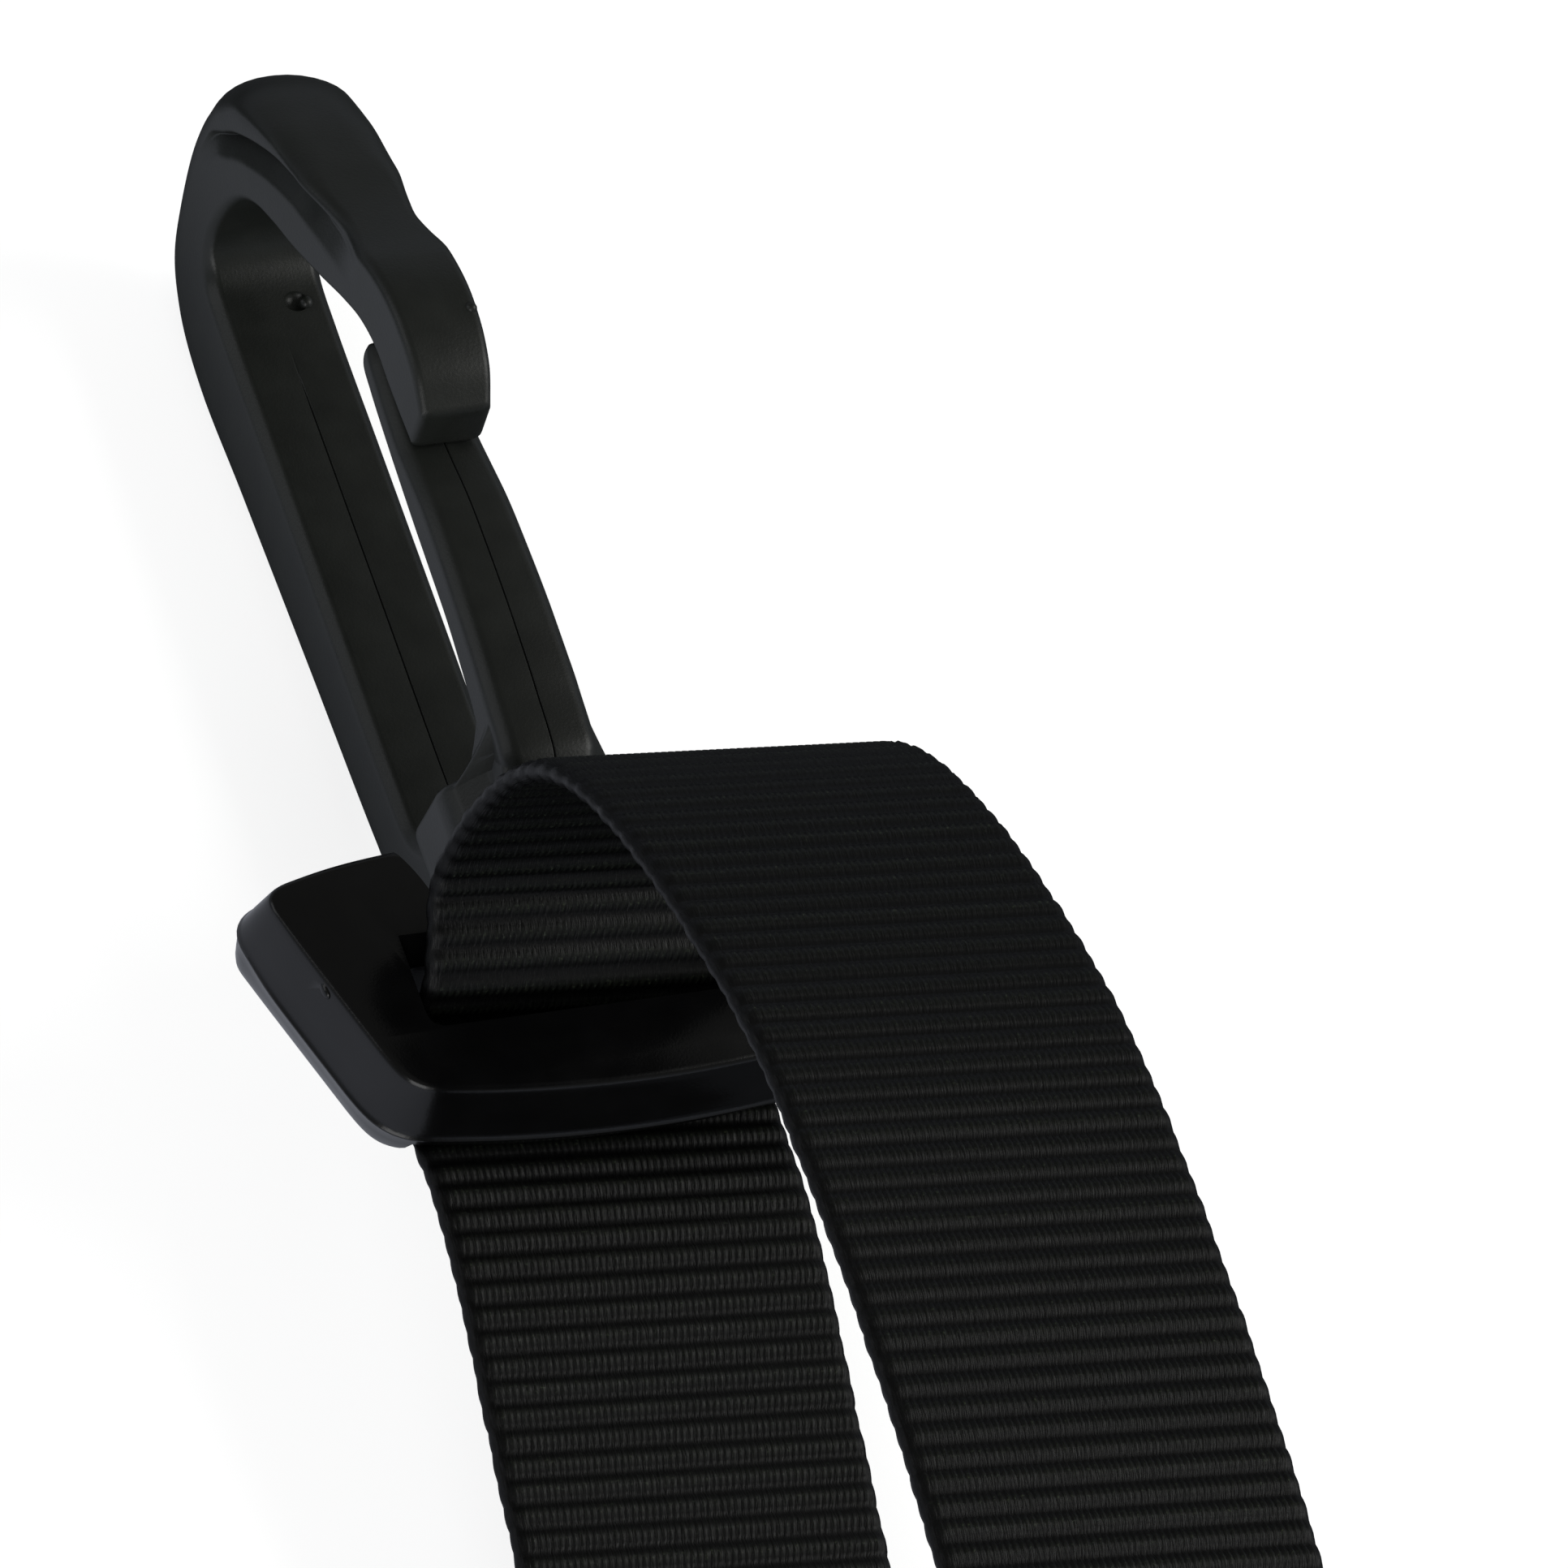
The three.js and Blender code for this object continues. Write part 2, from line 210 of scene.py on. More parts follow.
def rounded(corners, radii, steps=4):
    """A polyline with each inner corner replaced by a small curve of steps + 1 points."""
    corners = [np.asarray(c, float) for c in corners]
    points = [corners[0]]
    for i in range(1, len(corners) - 1):
        before, corner, after = corners[i - 1], corners[i], corners[i + 1]
        reach_in = min(radii[i], 0.48 * np.linalg.norm(before - corner))
        reach_out = min(radii[i], 0.48 * np.linalg.norm(after - corner))
        a = corner + (before - corner) / max(np.linalg.norm(before - corner), 1e-9) * reach_in
        b = corner + (after - corner) / max(np.linalg.norm(after - corner), 1e-9) * reach_out
        for t in np.linspace(0, 1, steps + 1):
            points.append((1 - t) ** 2 * a + 2 * t * (1 - t) * corner + t ** 2 * b)
    points.append(corners[-1])
    return np.array(points)


def revolve(name, profile, segments=64):
    """A closed solid turned about the swivel axis from (radius, y) points."""
    angles = np.linspace(0, 2 * math.pi, segments, endpoint=False)
    points = [(r * math.cos(a), y, SWIVEL_Z + r * math.sin(a)) for r, y in profile for a in angles]
    return outward(mesh_object(name, points, ring_faces(len(profile), segments)))


def box_object(name, low, high):
    x, y, z = zip(low, high)
    points = [(x[i], y[j], z[k]) for i in (0, 1) for j in (0, 1) for k in (0, 1)]
    faces = [(0, 1, 3, 2), (4, 6, 7, 5), (0, 4, 5, 1), (2, 3, 7, 6), (0, 2, 6, 4), (1, 5, 7, 3)]
    return outward(mesh_object(name, points, faces, smooth=False))


def prism(name, outline, low, high):
    """An outline in (x, y), closed, from z = low to z = high."""
    count = len(outline)
    points = [(x, y, z) for z in (low, high) for x, y in outline]
    return outward(mesh_object(name, points, ring_faces(2, count), smooth=False))


def side_prism(name, outline, low, high):
    """An outline in (y, z), closed, from x = low to x = high."""
    count = len(outline)
    points = [(x, y, z) for x in (low, high) for y, z in outline]
    return outward(mesh_object(name, points, ring_faces(2, count), smooth=False))


# ---- materials ----
def node_material(name):
    material = bpy.data.materials.new(name)
    material.use_nodes = True
    nodes = material.node_tree.nodes
    return material, nodes, material.node_tree.links, nodes["Principled BSDF"]


def noise(nodes, links, vector, scale, detail=3.0):
    node = nodes.new("ShaderNodeTexNoise")
    node.inputs["Scale"].default_value = scale
    node.inputs["Detail"].default_value = detail
    links.new(vector, node.inputs["Vector"])
    return node.outputs["Fac"]


def ramp(nodes, links, source, stops):
    node = nodes.new("ShaderNodeValToRGB")
    while len(node.color_ramp.elements) < len(stops):
        node.color_ramp.elements.new(0.5)
    for element, (position, colour) in zip(node.color_ramp.elements, stops):
        element.position = position
        element.color = (*colour, 1)
    links.new(source, node.inputs["Fac"])
    return node.outputs["Color"]


def remap(nodes, links, source, low, high):
    node = nodes.new("ShaderNodeMapRange")
    node.inputs["To Min"].default_value = low
    node.inputs["To Max"].default_value = high
    links.new(source, node.inputs["Value"])
    return node.outputs["Result"]


def times(nodes, links, first, second):
    node = nodes.new("ShaderNodeMix")
    node.data_type = "RGBA"
    node.blend_type = "MULTIPLY"
    node.inputs["Factor"].default_value = 1
    links.new(first, node.inputs["A"])
    links.new(second, node.inputs["B"])
    return node.outputs["Result"]


def bump(nodes, links, height, distance, strength, normal=None):
    node = nodes.new("ShaderNodeBump")
    node.inputs["Strength"].default_value = strength
    node.inputs["Distance"].default_value = distance
    links.new(height, node.inputs["Height"])
    if normal is not None:
        links.new(normal, node.inputs["Normal"])
    return node.outputs["Normal"]


def plastic(name, dark, light, roughness, grain_depth, swirl_depth):
    """Black moulded plastic: fine grain, faint flow marks, and uneven gloss."""
    material, nodes, links, shader = node_material(name)
    where = nodes.new("ShaderNodeTexCoord").outputs["Object"]
    flow = noise(nodes, links, where, 90, 4)
    patches = noise(nodes, links, where, 420, 3)
    grain = noise(nodes, links, where, 5200, 2)
    links.new(ramp(nodes, links, patches, [(0.3, dark), (0.75, light)]), shader.inputs["Base Color"])
    links.new(remap(nodes, links, patches, roughness[0], roughness[1]), shader.inputs["Roughness"])
    first = bump(nodes, links, flow, swirl_depth, 0.5)
    links.new(bump(nodes, links, grain, grain_depth, 0.6, first), shader.inputs["Normal"])
    shader.inputs["IOR"].default_value = 1.49
    return material


# ---- hook frame ----
# Where the hook is cut across: (y, z) on the inner face, (y, z) on the outer face, half-width.
HOOK_SECTIONS = [
    ((21.0, 0.4), (16.0, 2.2), 3.1),
    ((19.2, -0.7), (13.2, 0.6), 3.65),
    ((17.75, -3.1), (13.2, -4.5), 3.95),
    ((17.3, -8.0), (13.2, -10.5), 3.95),
    ((17.9, -10.6), (13.4, -14.6), 3.95),
    ((19.6, -11.9), (15.6, -17.0), 3.95),
    ((23.0, -12.16), (21.5, -17.8), 3.95),
    ((35.0, -12.16), (35.0, -18.6), 3.95),
    ((48.0, -12.16), (48.0, -19.4), 3.95),
    ((56.0, -12.16), (56.0, -19.9), 3.95),
    ((59.6, -11.9), (61.5, -19.1), 3.95),
    ((61.0, -11.1), (65.1, -17.05), 3.95),
    ((61.75, -9.8), (67.45, -13.3), 3.95),
    ((61.95, -8.3), (68.8, -9.05), 3.95),
    ((61.75, -6.3), (69.05, -5.1), 3.95),
    ((61.0, -4.3), (68.35, -2.1), 3.93),
    ((59.7, -2.85), (66.4, 0.1), 3.87),
    ((57.6, -1.7), (62.9, 1.9), 3.7),
    ((54.9, -0.65), (58.9, 3.4), 3.45),
    ((52.0, 0.85), (55.0, 4.7), 3.25),
    ((49.2, 2.5), (51.3, 6.2), 3.12),
    ((47.0, 3.5), (48.9, 7.3), 3.0),
    ((44.7, 3.9), (46.2, 8.0), 2.9),
    ((42.2, 3.65), (43.2, 8.0), 2.78),
    ((40.2, 3.4), (40.8, 7.4), 2.62),
    ((38.3, 3.1), (38.9, 6.2), 2.4),
]
SECTION_STEPS = 8

# How the section changes along the hook: (section number, value), in mm unless it says otherwise.
CHAMFER = [(0, 0.5), (3, 0.6), (4, 0.7), (10, 0.7), (11.5, 0.42), (19, 0.36), (25, 0.3)]
ROUND_X = [(0, 1.0), (5, 1.8), (9, 2.2), (12, 3.4), (14, 3.85), (15, 3.7), (16, 3.3), (17.5, 2.4),
           (19, 0.8), (25, 0.55)]              # rounding of the outer edges, across
ROUND_Y = [(0, 1.0), (5, 2.3), (9, 3.3), (12, 3.2), (14, 2.6), (15, 2.1), (16, 1.5), (17.5, 0.9),
           (19, 0.65), (25, 0.6)]              # and in depth
BAND = [(0, 2.6), (12, 3.4), (14, 3.3), (15, 2.7), (16, 2.6), (18, 3.0), (19.5, 3.3), (21, 3.1),
        (25, 3.0)]                             # full-width band beside the opening
RECESS = [(13.5, 0), (15.4, 1.3), (18, 1.3), (19.2, 0.7), (20.6, 0)]
RECESS_OPEN = [(18.2, 0.05), (19.6, 1)]        # share of the recess that runs out through the outer face
PARTING_GROOVE = [(5.5, 0), (6.2, 0.2), (8, 0.2), (8.8, 0)]
GROOVE_HALF = 0.07
RECESS_SLOPE = 1.56                            # length of the recess's sloping floor
RECESS_WALL = 0.22
LEAST_WALL = 0.3                               # left between the recess and the outer rounding
NOSE_END = [(0.96, 0.12), (0.88, 0.24), (0.76, 0.32)]     # the domed end: scale, distance past the end

COLLAR_FLAT = 6.1                              # from the swivel axis to the collar's flats
COLLAR_CORNER = 6.45
COLLAR_PROFILE = [                             # y, how far in from the collar's full size
    (8.6, 0.55), (8.68, 0.25), (8.85, 0.08), (9.15, 0), (16.6, 0), (16.85, 0.05), (17.1, 0.2),
    (17.25, 0.42), (17.3, 0.65),
]
STUD_PROFILE = [                               # radius, y
    (0.01, 3.4), (1.9, 3.4), (2.3, 3.5), (3.3, 4.1), (3.4, 4.3), (3.4, 4.6), (3.3, 4.7), (2.2, 4.7),
    (2.2, 9.5), (0.01, 9.5),
]
WEB_START = 16.4
WEB_LENGTH = 3.2


def keyed(at, keys):
    """A number that runs smoothly through (section, value) keys."""
    places, values = zip(*keys)
    i = int(np.clip(np.searchsorted(places, at) - 1, 0, len(places) - 2))
    t = np.clip((at - places[i]) / (places[i + 1] - places[i]), 0, 1)
    return values[i] + (values[i + 1] - values[i]) * t * t * (3 - 2 * t)


def hook_half_section(at, half, depth):
    """Half of the section at this station: (x, distance from the inner face) from face to face."""
    chamfer = keyed(at, CHAMFER)
    round_y = keyed(at, ROUND_Y)
    recess = keyed(at, RECESS)
    band = min(keyed(at, BAND), depth - round_y - RECESS_SLOPE - LEAST_WALL)
    floor = band + RECESS_SLOPE
    outer = half - recess * keyed(at, RECESS_OPEN)
    round_x = min(keyed(at, ROUND_X), outer - 0.05)
    turn = np.linspace(0, math.pi / 2, 9)[1:]
    points = rounded(
        [(0, keyed(at, PARTING_GROOVE)), (GROOVE_HALF, 0), (half - chamfer, 0), (half, chamfer), (half, band),
         (half - recess, floor), (outer, floor + RECESS_WALL), (outer, depth - round_y)],
        [0, 0.03, 0.25, 0.25, 0.3, 0.12, 0.25, 0])
    back = np.stack([outer + round_x * (np.cos(turn) - 1), depth + round_y * (np.sin(turn) - 1)], 1)
    return np.vstack([points, back, [(0, depth)]])


def hook_rings():
    inner = spline([s[0] for s in HOOK_SECTIONS], SECTION_STEPS)
    outer = spline([s[1] for s in HOOK_SECTIONS], SECTION_STEPS)
    halves = [s[2] for s in HOOK_SECTIONS]
    rings = []
    for i in range(len(inner)):
        at = i / SECTION_STEPS
        across = outer[i] - inner[i]
        depth = np.linalg.norm(across)
        half = np.interp(at, range(len(halves)), halves)
        section = hook_half_section(at, half, depth)
        both = mirrored(section)
        yz = inner[i] + both[:, 1:] * across / depth
        rings.append(np.column_stack([both[:, 0], yz]))
    base = rings[-1]
    last = inner[-1] - inner[-2]
    onward = np.array([0, *(last / np.linalg.norm(last))])
    for inset, step in NOSE_END:
        rings.append(base.mean(0) + (base - base.mean(0)) * inset + onward * step)
    return rings


def make_collar():
    """The eight-sided collar, with its corners and both ends eased."""
    angles = np.linspace(0, 2 * math.pi, 96, endpoint=False)
    from_flat = (angles + math.pi / 8) % (math.pi / 4) - math.pi / 8
    size = np.minimum(COLLAR_CORNER, COLLAR_FLAT / np.cos(from_flat))
    rings = [np.column_stack([(size - inset) * np.cos(angles), np.full(len(angles), y),
                              SWIVEL_Z + (size - inset) * np.sin(angles)]) for y, inset in COLLAR_PROFILE]
    return loft("collar", rings)


def make_root_web():
    """The web that fills the corners between the collar's end and the root of the gate."""
    rings = []
    for t in np.linspace(0, 1, 12):
        rise = 1 - (1 - t) ** 1.6
        half = 5.75 - 2.6 * rise
        low, shoulder, high = -3.4 + 3.5 * rise, -1.75 + 3.9 * rise, 1.5 + 1.4 * rise
        section = rounded([(0, low), (half, low), (half, shoulder), (2.5 + 0.1 * rise, high), (0, high)],
                          [0, 0.3, 0.3, 0.4, 0])
        rings.append(upright_ring(section, WEB_START + WEB_LENGTH * t))
    return loft("root_web", rings)


def pebble(name, centre, radii):
    """A small rounded lump."""
    x, y, z = radii
    tilt = np.linspace(-0.47, 0.47, 13) * math.pi
    turn = np.linspace(0, 2 * math.pi, 24, endpoint=False)
    rings = [np.array([(x * math.cos(t) * math.cos(a), y * math.cos(t) * math.sin(a), z * math.sin(t))
                       for a in turn]) + centre for t in tilt]
    return loft(name, rings)


def make_hook():
    hook = loft("hook_moulding", hook_rings())
    boolean(hook, make_collar(), "UNION")
    boolean(hook, make_root_web(), "UNION")
    boolean(hook, revolve("stud", STUD_PROFILE), "UNION")
    boolean(hook, box_object("slit", (-0.4, 2, -10), (0.4, 7.8, 1)), "DIFFERENCE")
    boolean(hook, pebble("ejector_pit", (1.5, 57.9, -11.95), (0.85, 0.75, 0.6)), "DIFFERENCE")
    boolean(hook, pebble("ejector_pip", (2.15, 57.8, -12.2), (0.45, 0.45, 0.4)), "UNION")
    boolean(hook, pebble("gate_mark", (2.3, 44.6, 7.85), (0.42, 0.42, 0.45)), "UNION")
    shade(hook, 38)
    return hook


# ---- spring gate ----
GATE_SECTIONS = [          # y, inner z, crown z, half-width
    (13.6, -1.0, 1.55, 2.5),
    (15.5, -0.8, 2.3, 3.0),
    (16.5, -0.6, 2.75, 3.25),
    (18.0, -0.3, 3.0, 3.25),
    (19.8, 0.13, 3.15, 3.25),
    (21.2, 0.44, 3.3, 3.24),
    (23.3, 0.65, 3.45, 3.2),
    (26.7, 0.95, 3.62, 3.15),
    (31.0, 0.93, 3.65, 3.05),
    (34.0, 0.9, 3.55, 2.98),
    (37.0, 0.9, 3.15, 2.9),
    (39.0, 0.9, 2.9, 2.84),
    (43.5, 0.9, 2.85, 2.65),
    (45.4, 0.95, 2.8, 2.5),
    (46.0, 1.2, 2.6, 2.3),
    (46.3, 1.6, 2.2, 2.05),
]


def make_gate():
    """The tongue, tapered and rounded along its length, with a parting line down its crown."""
    rings = []
    for y, low, high, half in spline(GATE_SECTIONS, SECTION_STEPS):
        edge = min(0.75, 0.4 * (high - low))
        under = min(0.25, 0.2 * (high - low))
        section = rounded(
            [(0, low), (half - under, low), (half, low + under), (half, high - edge),
             (half - edge, high - 0.1), (GROOVE_HALF, high), (0, high - 0.2)],
            [0, 0.15, 0.15, 0.35, 0.35, 0.04, 0])
        rings.append(upright_ring(section, y))
    gate = loft("gate_tongue", rings)
    shade(gate, 50)
    return gate


# ---- swivel base ----
FRONT_Y = -5.1             # middle of the bowed front edge
FRONT_HALF = 13
FRONT_RADIUS = 87
SLOT_HALF = 12.9
SLOT_DEPTH = 5
SLOT_CORNER = 1.2
CHANNEL_HALF = 14
BORE_RADIUS = 2.5
EDGE_RADIUS = 0.28
REAR_CORNER = (19.4, 10.4)
BASE_PROFILE = [           # z, how far out from the top outline
    (0, -0.15), (-0.05, 0.02), (-0.18, 0.2), (-0.42, 0.31), (-0.8, 0.42), (-1.8, 0.7), (-2.8, 0.98),
    (-3.7, 1.2), (-4.0, 1.33), (-4.12, 1.45), (-4.24, 1.45), (-4.36, 1.33), (-4.7, 1.16), (-5.6, 0.86),
    (-6.6, 0.5), (-7.3, 0.12), (-7.7, -0.22), (-7.93, -0.6), (-8, -1.0),
]
EASING = [(4, 1), (4, -2.5), (5, -1.5), (6.5, 0), (7.5, 1)]      # cut off the slot's rear edge, (y, z)
CHANNEL = [(-9, -5.5), (-9, -12), (1, -12), (1, -3.5), (0, -4.5), (-0.4, -5.1), (-1, -5.5)]


def base_outline():
    """The top outline as (x, y), counterclockwise from the middle of the bowed front edge."""
    bow = np.linspace(0, math.asin(FRONT_HALF / FRONT_RADIUS), 14)[:-1]
    right = np.vstack([
        np.stack([FRONT_RADIUS * np.sin(bow), FRONT_Y + FRONT_RADIUS * (1 - np.cos(bow))], 1),
        bezier((FRONT_HALF, -4.12), (15.3, -3.8), (15.7, -2.8), (16.4, -1), 14),
        np.linspace((16.4, -1), (19.9, 8.9), 16)[:-1],
        bezier((19.9, 8.9), (20.4, 10.2), (20, 10.8), (18.4, 11.1), 12),
        bezier((18.4, 11.1), (16, 11.6), (14, 11.9), (11, 12.1), 12),
        np.linspace((11, 12.1), (0.4, 12.1), 16),
    ])
    return np.vstack([right, right[:0:-1] * (-1, 1)])


def offset_outline(outline, distance):
    """The outline moved outward by this distance, and by less at the rear corners."""
    along = np.roll(outline, -1, 0) - np.roll(outline, 1, 0)
    normal = np.stack([along[:, 1], -along[:, 0]], 1)
    away = (np.abs(outline[:, 0]) - REAR_CORNER[0]) ** 2 + (outline[:, 1] - REAR_CORNER[1]) ** 2
    share = 1 - 0.35 * np.exp(-away / 7) if distance > 0 else np.ones(len(outline))
    return outline + normal / np.linalg.norm(normal, axis=1)[:, None] * (distance * share)[:, None]


def notch_outline():
    """The notch in the base's rear edge that the collar turns in, as (x, y)."""
    left = np.vstack([
        bezier((-8.6, 8.3), (-9.2, 8.3), (-9.6, 8.6), (-9.8, 9.2), 6),
        bezier((-9.8, 9.2), (-10.1, 10.2), (-10.5, 11.2), (-11.3, 12.4), 8),
        [(-12.5, 15)],
    ])
    return np.vstack([left, left[::-1] * (-1, 1)])


def make_base():
    outline = base_outline()
    rings = [np.column_stack([offset_outline(outline, out), np.full(len(outline), z)])
             for z, out in BASE_PROFILE]
    base = loft("base_moulding", rings)
    slot = mirrored(rounded([(0, 0), (SLOT_HALF, 0), (SLOT_HALF, SLOT_DEPTH), (0, SLOT_DEPTH)],
                            [0, SLOT_CORNER, SLOT_CORNER, 0], 6))
    boolean(base, prism("slot", slot, -12, 3), "DIFFERENCE")
    boolean(base, prism("notch", notch_outline(), -12, 3), "DIFFERENCE")
    boolean(base, side_prism("easing", EASING, -SLOT_HALF, SLOT_HALF), "DIFFERENCE")
    boolean(base, side_prism("channel", CHANNEL, -CHANNEL_HALF, CHANNEL_HALF), "DIFFERENCE")
    bore = [(0.01, 3), (BORE_RADIUS, 3), (BORE_RADIUS, 10), (0.01, 10)]
    boolean(base, revolve("bore", bore), "DIFFERENCE")
    edges = base.modifiers.new("edges", "BEVEL")
    edges.limit_method = "ANGLE"
    edges.angle_limit = math.radians(38)
    edges.width = EDGE_RADIUS * MM
    edges.segments = 3
    edges.use_clamp_overlap = True
    apply_modifiers(base)
    boolean(base, pebble("gate_mark", (-18.35, 4.0, -0.75), (0.35, 0.75, 0.4)), "UNION")
    shade(base, 40)
    return base


# ---- webbing ----
WIDTH = 25.0
HALF_CORE = 0.46           # half the thickness in the valleys between ribs
RIB_HEIGHT = 0.3
RIB_PITCH = 1.59
TEETH = 54                 # across the width, staggered by half a tooth from rib to rib
TOOTH_PITCH = WIDTH / TEETH
ROWS_PER_RIB = 5
COLUMNS_PER_TOOTH = 3
YAW = math.radians(-2.5)
ROLL = math.radians(4)
LOWER = FLOOR_Z + 0.75
UPPER = LOWER + 1.8
WEBBING_PATH = [
    (-65, LOWER), (-80, LOWER), (-90, LOWER), (-94, LOWER + 0.03),
    (-99, -18.7), (-105.5, -16.4), (-110.8, -11.5), (-113.5, -4), (-113.6, 6), (-110, 16), (-102, 24.6),
    (-91, 30.4), (-78, 33.8), (-66, 35.4), (-50, 36.1), (-34, 35.4), (-22, 33.7), (-11, 30),
    (-3, 26.2), (2.2, 22.7), (5, 19.6), (6.9, 15.4), (7.6, 11), (7.5, 6.4), (6.6, 3.2), (4.4, 1.1),
    (2.6, -0.7), (2, -3), (1.8, -5.3), (0.1, -7.2), (-4, -7.8), (-9, -7.5), (-15, -8),
    (-24, -9.7), (-34, -11.5), (-44, -13.5), (-54, -15.7), (-63, UPPER + 0.4),
    (-72, UPPER), (-82, UPPER), (-93, UPPER),
]


def lean(points):
    """The webbing's roll, which eases out to lie flat on the floor, and its yaw."""
    x, y, z = points.T
    t = np.clip((y + 0.7 * (z - FLOOR_Z) + 66) / 30, 0, 1)
    roll = ROLL * t * t * (3 - 2 * t)
    x, z = x * np.cos(roll) + z * np.sin(roll), z * np.cos(roll) - x * np.sin(roll)
    return np.stack([x * np.cos(YAW) - y * np.sin(YAW), x * np.sin(YAW) + y * np.cos(YAW), z], 1)


def webbing_line():
    """The path's points, and how far along it each one lies."""
    path = spline(WEBBING_PATH, 60)
    reach = np.concatenate([[0], np.cumsum(np.linalg.norm(np.diff(path, axis=0), axis=1))])
    return path, reach


def make_webbing():
    """The ribbed strip along the path, top and underside joined at the rim; returns it and its length."""
    path, reach = webbing_line()
    length = reach[-1]
    rows = int(length / RIB_PITCH * ROWS_PER_RIB)
    columns = TEETH * COLUMNS_PER_TOOTH
    s = np.linspace(0, length, rows + 1)
    middle = np.stack([np.interp(s, reach, path[:, i]) for i in (0, 1)], 1)
    along = np.gradient(middle, s, axis=0)
    along /= np.linalg.norm(along, axis=1)[:, None]
    normal = np.stack([-along[:, 1], along[:, 0]], 1)
    v = np.linspace(-1, 1, columns + 1)
    count = np.floor(s / RIB_PITCH)
    phase = s / RIB_PITCH - count
    rib = np.sin(math.pi * phase) ** 1.1
    selvedge = np.clip((1 - np.abs(v)) / 0.05, 0, 1)
    selvedge = np.sqrt(1 - (1 - selvedge) ** 2)
    easing = np.clip((1 - np.abs(v)) / 0.07, 0, 1) ** 0.7
    random.seed(4)
    wander = np.array([random.uniform(-1, 1) for _ in range(int(count[-1]) + 2)])
    shift = wander[count.astype(int)]
    turns = v[None, :] * WIDTH / 2 / TOOTH_PITCH + 0.5 * (count % 2)[:, None]
    tooth = 0.5 + 0.5 * np.cos(2 * math.pi * turns)
    flank = np.clip(1 - np.abs(phase - 0.74) / 0.3, 0, 1)[:, None]
    points, crest = [], []
    half_width = WIDTH / 2 - 0.08 + 0.08 * rib + 0.04 * shift
    for side in (1, -1):
        height = rib[:, None] * (RIB_HEIGHT + 0.02 * shift[:, None]) + 0.2 * (tooth - 0.5) * (0.15 + flank)
        height = height * easing[None, :]
        thickness = (HALF_CORE + height) * (0.25 + 0.75 * selvedge[None, :])
        x = v[None, :] * half_width[:, None]
        y = middle[:, 0, None] + normal[:, 0, None] * thickness * side
        z = middle[:, 1, None] + normal[:, 1, None] * thickness * side
        points.append(lean(np.stack([x, y, z], 2).reshape(-1, 3)))
        crest.append(np.clip(height / (RIB_HEIGHT + 0.06), 0, 1).ravel())
    across = columns + 1
    grid = np.arange((rows + 1) * across).reshape(rows + 1, across)
    top = np.stack([grid[:-1, :-1], grid[:-1, 1:], grid[1:, 1:], grid[1:, :-1]], 2).reshape(-1, 4)
    under = top[:, ::-1] + grid.size
    rim = np.concatenate([grid[0], grid[1:, -1], grid[-1, -2::-1], grid[-2:0:-1, 0]])
    ahead = np.roll(rim, -1)
    edge = np.stack([rim, rim + grid.size, ahead + grid.size, ahead], 1)
    faces = np.vstack([top, under, edge])
    webbing = quad_mesh("webbing", np.vstack(points), faces)
    attribute = webbing.data.attributes.new("crest", "FLOAT", "POINT")
    attribute.data.foreach_set("value", np.concatenate(crest).astype(np.float32))
    uv = webbing.data.uv_layers.new(name="weave")
    flat = np.stack([np.broadcast_to(v * WIDTH / 2, (rows + 1, across)),
                     np.broadcast_to(s[:, None], (rows + 1, across))], 2).reshape(-1, 2)
    flat = np.vstack([flat, flat])
    corners = np.zeros(len(webbing.data.loops), np.int32)
    webbing.data.loops.foreach_get("vertex_index", corners)
    uv.data.foreach_set("uv", flat[corners].astype(np.float32).ravel())
    outward(webbing)
    return webbing, length


# ---- stitching on the lap ----
STITCH_LENGTH = 2.3
STITCH_PITCH = 2.9
STITCH_RADIUS = 0.27
STITCH_HEIGHT = 0.78       # of the thread's middle above the middle of the upper layer
STITCH_RINGS = [           # share of the length, share of the radius, how far the thread dips
    (0, 0.3, 0.3), (0.06, 0.8, 0.12), (0.2, 1, 0), (0.5, 1, -0.05), (0.8, 1, 0), (0.94, 0.8, 0.12),
    (1, 0.3, 0.3),
]
STITCH_AROUND = 10


def stitch_lines():
    """A box with a cross in it, as (start, end) lines in (x, y)."""
    half, near, far = 10.0, -67.5, -90.5
    corners = [(-half, near), (half, near), (half, far), (-half, far), (-half, near), (half, far)]
    return list(zip(corners[:-1], corners[1:])) + [((-half, far), (half, near))]


def thread_rings(start, end):
    """The points of one stitch from start to end, which dips in at both ends."""
    start, end = np.asarray(start, float), np.asarray(end, float)
    along = end - start
    side = np.cross((0, 0, 1), along / np.linalg.norm(along))
    rings = []
    for t, size, drop in STITCH_RINGS:
        centre = start + along * t - np.array([0, 0, drop])
        for a in np.linspace(0, 2 * math.pi, STITCH_AROUND, endpoint=False):
            rings.append(centre + (side * math.cos(a) + np.array([0, 0, math.sin(a)])) * STITCH_RADIUS * size)
    return rings


def make_stitching():
    share = STITCH_LENGTH / STITCH_PITCH
    one_stitch = ring_faces(len(STITCH_RINGS), STITCH_AROUND)
    points, faces = [], []
    for (x0, y0), (x1, y1) in stitch_lines():
        run = math.hypot(x1 - x0, y1 - y0)
        number = int(run / STITCH_PITCH)
        step = np.array([x1 - x0, y1 - y0, 0]) / number
        for i in range(number):
            start = np.array([x0, y0, UPPER + STITCH_HEIGHT]) + step * (i + 0.5 - 0.5 * share)
            faces += [tuple(k + len(points) for k in f) for f in one_stitch]
            points += thread_rings(start, start + step * share)
    stitching = mesh_object("lap_thread", lean(np.array(points)), faces)
    return outward(stitching)


